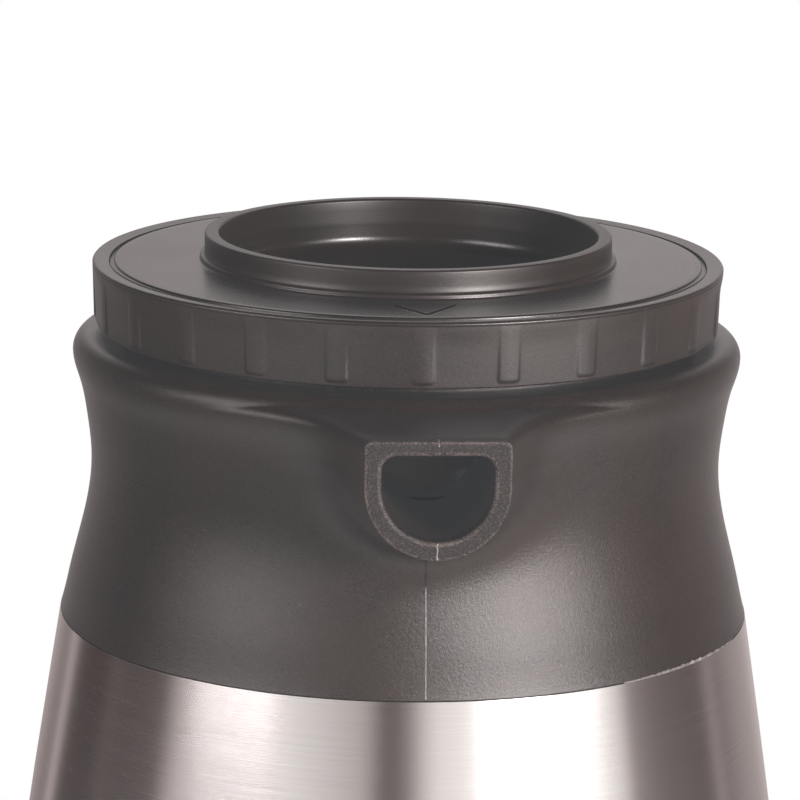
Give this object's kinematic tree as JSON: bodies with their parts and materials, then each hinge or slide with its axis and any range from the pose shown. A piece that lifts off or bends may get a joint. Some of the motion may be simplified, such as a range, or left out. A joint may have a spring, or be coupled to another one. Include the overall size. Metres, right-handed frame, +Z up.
{
  "type": "thermal carafe",
  "caption": "Insulated serving jug with a steel vacuum body, D-mouth spout collar, back handle and a brew-through lid whose ribbed ring turns to lock.",
  "frame": {"origin": "on the jug's axis, in the plane of the foot ring's underside", "axes": "+Z up along the jug's axis, the spout points along -Y, the handle along +Y"},
  "size_m": [0.1556, 0.2143, 0.2202],
  "materials": {
    "brushed_steel": "horizontally brushed, satin",
    "satin_steel": "satin",
    "port_seal": "dull braze",
    "getter_metal": "dull",
    "collar_plastic": "fine grained matte",
    "lid_plastic": "satin",
    "ring_plastic": "satin, ribbed",
    "black_plastic": "fine grained matte",
    "foot_rubber": "matte",
    "silicone": "translucent grey silicone",
    "foam": "closed-cell foam",
    "natural_plastic": "natural polypropylene",
    "spring_steel": "bright",
    "screw_steel": "machined"
  },
  "bodies": {
    "jug": {"outer_shell": "brushed_steel", "inner_flask": "satin_steel", "shell_bottom": "satin_steel", "seal_plug": "port_seal", "getter": "getter_metal", "base_cup": "black_plastic", "foot_ring": "foot_rubber", "collar": "collar_plastic", "neck_gasket": "silicone", "neck_clip": "spring_steel", "handle_grip": "black_plastic", "handle_cover": "black_plastic", "handle_screws": "screw_steel", "handle_bracket": "satin_steel", "foot_screw": "screw_steel"},
    "lid": {"lid_cover": "lid_plastic", "lid_plug": "lid_plastic", "lid_gasket": "silicone", "lid_foam": "foam", "valve_washer": "silicone", "valve_cage": "natural_plastic", "brew_stem": "natural_plastic"},
    "lock_ring": {"grip_ring": "ring_plastic"},
    "float": {"valve_float": "natural_plastic"}
  },
  "joints": [
    {"name": "lid_lift", "type": "slide", "parent": "jug", "child": "lid", "axis": [0, 0, 1], "range_m": [0, 0.18]},
    {"name": "ring_turn", "type": "hinge", "parent": "lid", "child": "lock_ring", "pos_m": [0, 0, 0.2075], "axis": [0, 0, 1], "range_deg": [-45, 0]},
    {"name": "float_rise", "type": "slide", "parent": "lid", "child": "float", "axis": [0, 0, 1], "range_m": [0, 0.005]}
  ]
}
